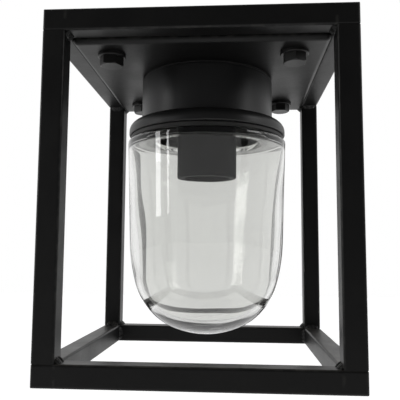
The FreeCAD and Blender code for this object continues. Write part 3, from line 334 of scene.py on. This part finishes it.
def make_finishes():
    """Every finish of the lantern by the name of its slot in the record."""
    return {
        "powder_coat": powder_coat(
            "powder_coat", (0.0025, 0.0025, 0.0028, 1), (0.006, 0.0059, 0.0055, 1),
            roughness=0.42, specular=0.22, worn=True),
        "housing_coat": powder_coat(
            "housing_coat", (0.0065, 0.0065, 0.007, 1), (0.011, 0.011, 0.011, 1),
            roughness=0.42, specular=0.34, peel=0.02),
        "black_hardware": powder_coat(
            "black_hardware", (0.004, 0.004, 0.004, 1), (0.009, 0.0087, 0.008, 1),
            roughness=0.4, specular=0.30, peel=0.015),
        "zinc_steel": metal(
            "zinc_steel", (0.55, 0.56, 0.57, 1), (0.38, 0.38, 0.37, 1), roughness=0.34),
        "seal_rubber": moulded(
            "seal_rubber", (0.010, 0.010, 0.010, 1), (0.022, 0.021, 0.020, 1), roughness=0.66),
        "black_thermoplastic": moulded(
            "black_thermoplastic", (0.002, 0.0022, 0.003, 1), (0.0045, 0.0048, 0.006, 1),
            roughness=0.5, depth=0.002, specular=0.04),
        "white_ceramic": moulded(
            "white_ceramic", (0.72, 0.70, 0.65, 1), (0.62, 0.59, 0.53, 1),
            roughness=0.22, grain_size=0.8, depth=0.01),
        "brass": metal(
            "brass", (0.66, 0.49, 0.22, 1), (0.42, 0.29, 0.13, 1), roughness=0.3),
        "block_nylon": moulded(
            "block_nylon", (0.72, 0.71, 0.66, 1), (0.66, 0.64, 0.57, 1), roughness=0.45),
        "brown_insulation": moulded(
            "brown_insulation", (0.13, 0.05, 0.022, 1), (0.10, 0.04, 0.02, 1), roughness=0.4),
        "blue_insulation": moulded(
            "blue_insulation", (0.03, 0.12, 0.40, 1), (0.03, 0.10, 0.33, 1), roughness=0.4),
        "earth_insulation": moulded(
            "earth_insulation", (0.10, 0.32, 0.04, 1), (0.09, 0.27, 0.04, 1), roughness=0.4),
        "clear_glass": clear_glass(),
    }


FINISHES = make_finishes()


def dress_frame():
    """Give each CAD node the finish that the record names for it."""
    for row in frame["record"]["subparts"]:
        materials = NODES[row["node"]].data.materials
        materials.clear()
        materials.append(FINISHES[row["material_slot"]])


# ---------------------------------------------------------------- turned pieces

SHARP_ANGLE = math.radians(42)


def arc_points(start, end, radius, side, step):
    """Points after start up to end on the minor arc; side 1 has its centre on the left."""
    start, end = Vector(start), Vector(end)
    chord = end - start
    left = Vector((-chord.y, chord.x)).normalized()
    rise = math.sqrt(max(radius ** 2 - (chord.length / 2) ** 2, 0.0))
    centre = (start + end) / 2 + left * rise * side
    first = math.atan2(start.y - centre.y, start.x - centre.x)
    sweep = 2 * math.asin(min(chord.length / 2 / radius, 1.0)) * side
    count = max(3, math.ceil(abs(sweep) * radius / step))
    angles = [first + sweep * number / count for number in range(1, count + 1)]
    return [(centre.x + radius * math.cos(a), centre.y + radius * math.sin(a)) for a in angles]


def trace(outline, step):
    """Points (x, z, run) along a closed outline of (x, z) or (x, z, radius, side) corners."""
    traced = []
    for run, corner in enumerate(outline):
        start = corner[:2]
        end = outline[(run + 1) % len(outline)][:2]
        if len(corner) == 4:
            found = arc_points(start, end, corner[2], corner[3], step)
        else:
            count = max(1, math.ceil(math.dist(start, end) / step))
            found = [tuple(Vector(start).lerp(Vector(end), n / count)) for n in range(1, count + 1)]
        traced += [(x, z, run) for x, z in found]
    return traced


def make_piece(name, vertices, faces, slot, body, stands_for=()):
    """A closed mesh from millimetres, with its finish, its body and the nodes it replaces."""
    mesh = bpy.data.meshes.new(name)
    mesh.from_pydata([(x * MM, y * MM, z * MM) for x, y, z in vertices], [], faces)
    mesh.validate()
    mesh.materials.append(FINISHES[slot])
    piece = bpy.data.objects.new(name, mesh)
    bpy.context.scene.collection.objects.link(piece)
    for polygon in mesh.polygons:
        polygon.use_smooth = True
    mesh.set_sharp_from_angle(angle=SHARP_ANGLE)
    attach(piece, body)
    if stands_for:
        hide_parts(*stands_for)
    return piece


def turned(points, segments, relief=None):
    """Vertices and faces of a closed outline of (radius, z, run) turned about the axis."""
    vertices = []
    rows = []
    for radius, z, run in points:
        if radius < 1e-4:
            rows.append([len(vertices)])
            vertices.append((0.0, 0.0, z))
            continue
        rows.append(range(len(vertices), len(vertices) + segments))
        for number in range(segments):
            angle = 2 * math.pi * number / segments
            reach = radius + (relief(run, radius, z, angle) if relief else 0.0)
            vertices.append((reach * math.cos(angle), reach * math.sin(angle), z))
    faces = []
    for number, row in enumerate(rows):
        after = rows[(number + 1) % len(rows)]
        if len(row) == 1 and len(after) == 1:
            continue
        for spot in range(segments):
            beside = (spot + 1) % segments
            if len(row) == 1:
                faces.append((row[0], after[spot], after[beside]))
            elif len(after) == 1:
                faces.append((row[beside], row[spot], after[0]))
            else:
                faces.append((row[spot], after[spot], after[beside], row[beside]))
    return vertices, faces


# ---------------------------------------------------------------- glass jar

JAR_RADIUS = JAR_HIGH.x
JAR_MOUTH = JAR_HIGH.z
NECK_LENGTH = 18
SEAT_GAP = 0.05
NECK_RADIUS = 41
NECK_WALL = 4.5
NECK_ROUNDING = 1.2
JAR_SEAT = JAR_MOUTH - NECK_LENGTH - SEAT_GAP
SHOULDER_ROUNDING = 2.5
SHOULDER_WALL = 3.5
INNER_ROUNDING = 3
# The jar's outline and walls as the photograph shows them, a little fuller than the solid's.
JAR_LENGTH = 134.2
GLASS_TAPER = math.radians(1.9)
DOME_RADIUS = 44.5
DOME_ANGLE = math.radians(15.6)
BASE_RADIUS = 60
BASE_ANGLE = math.radians(23)
GLASS_WALL = 2.5
INNER_TAPER = math.radians(4.6)
BASE_THICKNESS = 6.4
FLOOR_RADIUS = 78
FLOOR_CORNER = 35
THREAD_PITCH = 6
THREAD_TURNS = 2
THREAD_DEPTH = 1.1
THREAD_SPREAD = 1.5
THREAD_FADE = 0.12
THREAD_START = 3.8
INNER_WAVE = 0.11
INNER_WAVE_FADE = 30
# Which stretches of the outline are the neck's side and the inside's floor, corner and wall.
NECK_RUN = 3
INNER_RUNS = (12, 13, 14)
JAR_SEGMENTS = 288
JAR_STEP = 0.7


def jar_outside():
    """The jar's outside from mouth to base: neck, shoulder, wall, side arc, dome and base."""
    neck_x = NECK_RADIUS - NECK_WALL
    wall_top = JAR_SEAT - SHOULDER_ROUNDING
    bottom = JAR_SEAT - JAR_LENGTH
    dome = DOME_RADIUS
    dome_x = (BASE_RADIUS - dome) * math.sin(BASE_ANGLE)
    dome_z = bottom + BASE_RADIUS - (BASE_RADIUS - dome) * math.cos(BASE_ANGLE)
    lean_cos, lean_sin = math.cos(GLASS_TAPER), math.sin(GLASS_TAPER)
    reach = (JAR_RADIUS - dome_x) * lean_cos - (wall_top - dome_z) * lean_sin
    between = math.cos(DOME_ANGLE - GLASS_TAPER)
    side = (reach - dome * between) / (1 - between)
    side_x = dome_x - (side - dome) * math.cos(DOME_ANGLE)
    side_z = dome_z + (side - dome) * math.sin(DOME_ANGLE)
    base_x = BASE_RADIUS * math.sin(BASE_ANGLE)
    base_z = bottom + BASE_RADIUS * (1 - math.cos(BASE_ANGLE))
    return [
        (neck_x, JAR_MOUTH - NECK_ROUNDING, NECK_ROUNDING, -1),
        (neck_x + NECK_ROUNDING, JAR_MOUTH),
        (NECK_RADIUS - NECK_ROUNDING, JAR_MOUTH, NECK_ROUNDING, -1),
        (NECK_RADIUS, JAR_MOUTH - NECK_ROUNDING),
        (NECK_RADIUS, JAR_SEAT + NECK_ROUNDING, NECK_ROUNDING, 1),
        (NECK_RADIUS + NECK_ROUNDING, JAR_SEAT),
        (JAR_RADIUS - SHOULDER_ROUNDING, JAR_SEAT, SHOULDER_ROUNDING, -1),
        (JAR_RADIUS, wall_top),
        (side_x + side * lean_cos, side_z - side * lean_sin, side, -1),
        (dome_x + dome * math.cos(DOME_ANGLE), dome_z - dome * math.sin(DOME_ANGLE), dome, -1),
        (base_x, base_z, BASE_RADIUS, -1),
    ]


def jar_inside():
    """The jar's inside from the base up to the neck: dished floor, corner, wall and shoulder."""
    neck_x = NECK_RADIUS - NECK_WALL
    wall_top = JAR_SEAT - SHOULDER_ROUNDING
    bottom = JAR_SEAT - JAR_LENGTH
    floor_z = bottom + BASE_THICKNESS
    centre_z = floor_z + FLOOR_RADIUS
    wall_x = JAR_RADIUS - GLASS_WALL
    lean_cos, lean_sin = math.cos(INNER_TAPER), math.sin(INNER_TAPER)
    gap = FLOOR_RADIUS - FLOOR_CORNER
    low = wall_x * lean_cos + (centre_z - wall_top) * lean_sin - FLOOR_CORNER
    across = math.sqrt(gap ** 2 - low ** 2)
    corner_x = low * lean_cos - across * lean_sin
    corner_z = centre_z - low * lean_sin - across * lean_cos
    ratio = FLOOR_CORNER / gap
    inner_top = JAR_SEAT - SHOULDER_WALL
    top_x = wall_x - (wall_top - inner_top) * math.tan(INNER_TAPER)
    return [
        (0.0, bottom),
        (0.0, floor_z, FLOOR_RADIUS, 1),
        (corner_x * (1 + ratio), corner_z + (corner_z - centre_z) * ratio, FLOOR_CORNER, 1),
        (corner_x + FLOOR_CORNER * lean_cos, corner_z - FLOOR_CORNER * lean_sin),
        (top_x, inner_top - INNER_ROUNDING, INNER_ROUNDING, 1),
        (top_x - INNER_ROUNDING, inner_top),
        (neck_x + INNER_ROUNDING, inner_top, INNER_ROUNDING, -1),
        (neck_x, inner_top + INNER_ROUNDING),
    ]


def inner_wave(radius, z, angle):
    """The slow waves that pressing leaves on the jar's inside."""
    slow = math.sin(2 * angle + 0.7 + z / 31) * math.cos(z / 19 + 1.1)
    quick = 0.45 * math.sin(5 * angle + z / 13) + 0.3 * math.sin(9 * angle - z / 8)
    return INNER_WAVE * (slow + quick) * min(1.0, radius / INNER_WAVE_FADE)


def neck_thread(z, angle):
    """The rounded thread on the neck's outside, which fades at both its ends."""
    low = JAR_SEAT + THREAD_START
    turns = (z - low) / THREAD_PITCH - angle / (2 * math.pi)
    nearest = min(max(round(turns), 0), THREAD_TURNS - 1)
    off = (turns - nearest) * THREAD_PITCH
    along = nearest + angle / (2 * math.pi)
    fade = min(1.0, along / THREAD_FADE, (THREAD_TURNS - along) / THREAD_FADE)
    rise = math.exp(-(off / THREAD_SPREAD) ** 2)
    return THREAD_DEPTH * max(fade, 0.0) * rise


def jar_relief(run, radius, z, angle):
    """How far the jar's surface stands off its outline."""
    if run in INNER_RUNS:
        return inner_wave(radius, z, angle)
    if run == NECK_RUN:
        return neck_thread(z, angle)
    return 0.0


def glass_jar():
    """The clear jar, which turns and comes down with the body that carries the glass."""
    points = trace(jar_outside() + jar_inside(), JAR_STEP)
    vertices, faces = turned(points, JAR_SEGMENTS, jar_relief)
    return make_piece("glass_jar_clear", vertices, faces, "clear_glass", "glass", ["glass_jar"])


# ---------------------------------------------------------------- lampholder

SLEEVE_LOW, SLEEVE_HIGH = extent("lampholder_skirt")
SLEEVE_DROP = 2.5
SLEEVE_BORE = 18.55
SLEEVE_MOUTH = 15.4
SLEEVE_LIP = 8.0
SLEEVE_ROUNDING = 1.0
SLEEVE_STEP = 0.35
SLEEVE_SEGMENTS = 144


def lampholder_sleeve():
    """The plain moulded sleeve, which reaches a little lower than the solid."""
    outer = SLEEVE_HIGH.x
    top = SLEEVE_HIGH.z
    bottom = SLEEVE_LOW.z - SLEEVE_DROP
    lip_top = SLEEVE_LOW.z + SLEEVE_LIP
    rounding = SLEEVE_ROUNDING
    outline = [
        (SLEEVE_BORE, top),
        (outer - rounding, top, rounding, -1),
        (outer, top - rounding),
        (outer, bottom + rounding, rounding, -1),
        (outer - rounding, bottom),
        (SLEEVE_MOUTH + rounding, bottom, rounding, -1),
        (SLEEVE_MOUTH, bottom + rounding),
        (SLEEVE_MOUTH, lip_top),
        (SLEEVE_BORE, lip_top),
    ]
    vertices, faces = turned(trace(outline, SLEEVE_STEP), SLEEVE_SEGMENTS)
    slot, replaced = "black_thermoplastic", ["lampholder_skirt"]
    return make_piece("lampholder_sleeve", vertices, faces, slot, "lantern", replaced)


# ---------------------------------------------------------------- welds

BEAD_PITCH = 1.3
BEAD_STEP = 0.26
BEAD_FACETS = 7
BEAD_SINK = 0.12
BEAD_END = 0.45
WANDER_SLOW, WANDER_QUICK = 0.07, 0.05
RIPPLE_IN_LEG = 0.03
BEAD_SWELL, RIPPLE_IN_SWELL = 0.04, 0.05
FILL_SINK = 0.02
FILL_REACH = 0.6
RIGHT, DEEP, UP = Vector((1, 0, 0)), Vector((0, 1, 0)), Vector((0, 0, 1))
CORNER_LEG = 3.0
CORNER_INSET = 1.4
PAN_LEG = 1.6
PAN_BEAD = 24.0
PAN_SPOTS = (-45.0, 45.0)
PAN_RIM = extent("canopy_pan")[1].z


def bead(mesh, start, end, first, second, leg):
    """One rippled fillet weld from start to end; first and second point along its two faces."""
    vertices, faces = mesh
    start, end, first, second = (Vector(v) for v in (start, end, first, second))
    length = (end - start).length
    count = round(length / BEAD_STEP)
    ring = BEAD_FACETS + 2
    # Each bead starts its ripples elsewhere, by where it lies.
    own = start.x * 0.7 + start.y * 1.3 + start.z * 0.37
    base = len(vertices)
    for number in range(count + 1):
        along = length * number / count
        root = start.lerp(end, number / count) - (first + second) * BEAD_SINK
        taper = min(1.0, BEAD_END + min(along, length - along) / leg)
        ripple = abs(math.sin(math.pi * (along / BEAD_PITCH) + own))
        slow, quick = math.sin(along * 1.7 + own), math.sin(along * 4.1 + 2 * own)
        wander = 1 + WANDER_SLOW * slow + WANDER_QUICK * quick
        size = leg * taper * wander * (1 - RIPPLE_IN_LEG + RIPPLE_IN_LEG * ripple)
        vertices.append(root)
        for facet in range(BEAD_FACETS + 1):
            share = facet / BEAD_FACETS
            swell = math.sin(math.pi * share) * size * (BEAD_SWELL + RIPPLE_IN_SWELL * ripple)
            flat = first * (1 - share) * size + second * share * size
            vertices.append(root + flat + (first + second).normalized() * swell)
    for number in range(count):
        low = base + number * ring
        for spot in range(ring):
            beside = (spot + 1) % ring
            faces.append((low + spot, low + beside, low + ring + beside, low + ring + spot))
    faces.append(tuple(base + spot for spot in reversed(range(ring))))
    faces.append(tuple(base + count * ring + spot for spot in range(ring)))


def outward(vertices, faces):
    """The same faces, all wound to look outwards."""
    shape = bmesh.new()
    corners = [shape.verts.new(v) for v in vertices]
    for face in faces:
        shape.faces.new([corners[spot] for spot in face])
    bmesh.ops.recalc_face_normals(shape, faces=shape.faces)
    shape.verts.index_update()
    wound = [tuple(corner.index for corner in face.verts) for face in shape.faces]
    shape.free()
    return wound


def quarter_turns():
    """The four turns about the lantern's axis that carry one corner or side to all of them."""
    return [Matrix.Rotation(math.radians(90 * quarter), 3, "Z") for quarter in range(4)]


def corner_beads():
    """The welds of the cage: in the rings' corners and where the posts meet the rings."""
    mesh = ([], [])
    inner = -TUBE_INNER
    near_end, far_end = inner - CORNER_INSET, -TUBE_OUTER + CORNER_INSET
    for turn in quarter_turns():
        for low, high in (BOTTOM_RING, TOP_RING):
            start = turn @ Vector((inner, inner, low + CORNER_INSET))
            end = turn @ Vector((inner, inner, high - CORNER_INSET))
            bead(mesh, start, end, turn @ RIGHT, turn @ DEEP, CORNER_LEG)
        for level, away in ((BOTTOM_RING[1], UP), (TOP_RING[0], -UP)):
            start = turn @ Vector((inner, near_end, level))
            end = turn @ Vector((inner, far_end, level))
            bead(mesh, start, end, turn @ RIGHT, away, CORNER_LEG)
            start = turn @ Vector((near_end, inner, level))
            end = turn @ Vector((far_end, inner, level))
            bead(mesh, start, end, turn @ DEEP, away, CORNER_LEG)
    vertices, faces = mesh
    faces = outward(vertices, faces)
    replaced = ["corner_welds"]
    return make_piece("corner_weld_beads", vertices, faces, "powder_coat", "lantern", replaced)


def seam_fills():
    """Ground filler that carries the posts' outer faces flush over the rings' rounded edges."""
    vertices, faces = [], []
    inner, outer = -TUBE_INNER, -TUBE_OUTER + FILL_SINK
    edge = -TUBE_OUTER + TUBE_ROUNDING * FILL_REACH
    for turn in quarter_turns():
        for level, away in ((BOTTOM_RING[1], -UP), (TOP_RING[0], UP)):
            front = (Vector((inner, outer, level)), Vector((edge, outer, level)), DEEP)
            side = (Vector((outer, inner, level)), Vector((outer, edge, level)), RIGHT)
            for start, end, inward in (front, side):
                base = len(vertices)
                shifts = (-away * FILL_SINK, away * TUBE_ROUNDING, inward * TUBE_ROUNDING)
                vertices += [turn @ (point + shift) for point in (start, end) for shift in shifts]
                faces += [(base, base + 1, base + 2), (base + 3, base + 5, base + 4)]
                for spot in range(3):
                    beside = (spot + 1) % 3
                    faces.append((base + spot, base + 3 + spot, base + 3 + beside, base + beside))
    faces = outward(vertices, faces)
    return make_piece("post_seam_fills", vertices, faces, "powder_coat", "lantern")


def pan_beads():
    """The stitch welds that hold the pan's rim in the top ring."""
    mesh = ([], [])
    for turn in quarter_turns():
        for spot in PAN_SPOTS:
            start = turn @ Vector((spot - PAN_BEAD / 2, -TUBE_INNER, PAN_RIM))
            end = turn @ Vector((spot + PAN_BEAD / 2, -TUBE_INNER, PAN_RIM))
            bead(mesh, start, end, turn @ DEEP, UP, PAN_LEG)
    vertices, faces = mesh
    faces = outward(vertices, faces)
    replaced = ["pan_welds"]
    return make_piece("pan_weld_beads", vertices, faces, "powder_coat", "lantern", replaced)


# ---------------------------------------------------------------- stage

FLOOR_DROP = 0.25
FLOOR_SIZE = 8.0
FLOOR_COLOUR = (0.80, 0.80, 0.80, 1.0)
FLOOR_GLOW = (0.55, 0.55, 0.55, 1.0)
FLOOR_ROUGHNESS = 0.9
# Mirrored in the lantern, the floor fades towards the front between these two places on Y.
FLOOR_DIM, FLOOR_BRIGHT = -1.2, 0.2
FRONT_LIGHT = 0.12
BACK_LIGHT = 1.0
# The sky goes from its front to its back level between these two shares of the way to +Y.
SKY_DIM, SKY_BRIGHT = -0.55, 0.45
LAMP_SIZE = 0.4
LAMP_TARGET = (0.0, 0.0, -0.1)
LEFT_LAMP, LEFT_POWER = (-0.9, -0.5, 0.1), 3.2
RIGHT_LAMP, RIGHT_POWER = (1.0, -0.3, 0.35), 1.8


def light_path(nodes, ray):
    """1 for rays of one kind, else 0."""
    return nodes.node("LightPath", output=f"Is {ray} Ray")


def light_sky():
    """White for the camera and through the glass, and a studio that is dim in front."""
    world = bpy.data.worlds.new("studio")
    world.use_nodes = True
    bpy.context.scene.world = world
    sky = Nodes(world.node_tree)
    seen = sky.maths("MAXIMUM", light_path(sky, "Camera"), light_path(sky, "Transmission"))
    way = sky.parts(sky.node("TexCoord", output="Generated"))
    depth = sky.smooth(way[1], SKY_DIM, SKY_BRIGHT)
    level = FRONT_LIGHT + depth * (BACK_LIGHT - FRONT_LIGHT)
    background = world.node_tree.nodes["Background"]
    background.inputs["Color"].default_value = WHITE
    sky.feed(background, "Strength", seen + (1 - seen) * level)


def lay_floor():
    """A pale floor well under the hanging lantern; it glows a little and keeps the shadow."""
    half = FLOOR_SIZE / 2
    level = cad_box[0][2] - FLOOR_DROP
    mesh = bpy.data.meshes.new("floor")
    corners = ((-half, -half), (half, -half), (half, half), (-half, half))
    mesh.from_pydata([(x, y, level) for x, y in corners], [], [(0, 1, 2, 3)])
    floor = bpy.data.objects.new("floor", mesh)
    bpy.context.scene.collection.objects.link(floor)
    constants = {
        "Base Color": FLOOR_COLOUR,
        "Roughness": FLOOR_ROUGHNESS,
        "Emission Strength": 1.0,
    }
    pale = Finish("pale_floor", constants)
    in_front = 1 - pale.smooth(pale.parts(pale.place())[1], FLOOR_DIM, FLOOR_BRIGHT)
    mirrored = light_path(pale, "Glossy") * (1 - in_front)
    seen = pale.maths("MAXIMUM", light_path(pale, "Camera"), mirrored)
    pale.set(emission_color=pale.mix(seen, BLACK, FLOOR_GLOW))
    white = pale.node("Emission", inputs={"Color": WHITE, "Strength": 1.0})
    through = light_path(pale, "Transmission")
    own = Wire(pale, pale.shader.outputs[0])
    shown = pale.node("MixShader", inputs={0: through, 1: own, 2: white})
    pale.feed(pale.tree.nodes["Material Output"], "Surface", shown)
    mesh.materials.append(pale.material)


def softbox(name, place, power):
    """A square area lamp that faces the lantern."""
    lamp = bpy.data.lights.new(name, "AREA")
    lamp.shape = "SQUARE"
    lamp.size = LAMP_SIZE
    lamp.energy = power
    box = bpy.data.objects.new(name, lamp)
    box.location = place
    way = Vector(LAMP_TARGET) - Vector(place)
    box.rotation_euler = way.to_track_quat("-Z", "Y").to_euler()
    bpy.context.scene.collection.objects.link(box)


def set_lamps():
    """Two soft lamps, low at the left and higher at the right."""
    softbox("left_softbox", LEFT_LAMP, LEFT_POWER)
    softbox("right_softbox", RIGHT_LAMP, RIGHT_POWER)


# ---------------------------------------------------------------- camera

CAMERA_PLACE = (21.33, -383.62, -140.78)
CAMERA_YAW = 0.0676
CAMERA_PITCH = 0.1009
CAMERA_ROLL = 0.0067
CAMERA_LENS = 48.86
CAMERA_SENSOR = 36.0
CAMERA_NEAR = 0.01


def set_camera():
    """The photograph's camera, solved from the cage's straight edges."""
    camera = bpy.data.cameras.new("camera")
    camera.lens = CAMERA_LENS
    camera.sensor_width = CAMERA_SENSOR
    camera.clip_start = CAMERA_NEAR
    eye = bpy.data.objects.new("camera", camera)
    forward = Vector((
        -math.sin(CAMERA_YAW) * math.cos(CAMERA_PITCH),
        math.cos(CAMERA_YAW) * math.cos(CAMERA_PITCH),
        math.sin(CAMERA_PITCH),
    ))
    level_right = Vector((math.cos(CAMERA_YAW), math.sin(CAMERA_YAW), 0.0))
    level_up = level_right.cross(forward)
    right = math.cos(CAMERA_ROLL) * level_right + math.sin(CAMERA_ROLL) * level_up
    up = math.cos(CAMERA_ROLL) * level_up - math.sin(CAMERA_ROLL) * level_right
    turn = Matrix((right, up, -forward)).transposed().to_4x4()
    eye.matrix_world = Matrix.Translation(Vector(CAMERA_PLACE) * MM) @ turn
    bpy.context.scene.collection.objects.link(eye)
    bpy.context.scene.camera = eye


# ---------------------------------------------------------------- the whole lantern

dress_frame()
glass_jar()
lampholder_sleeve()
corner_beads()
seam_fills()
pan_beads()
light_sky()
lay_floor()
set_lamps()
set_camera()
bpy.context.scene.view_settings.view_transform = "Standard"
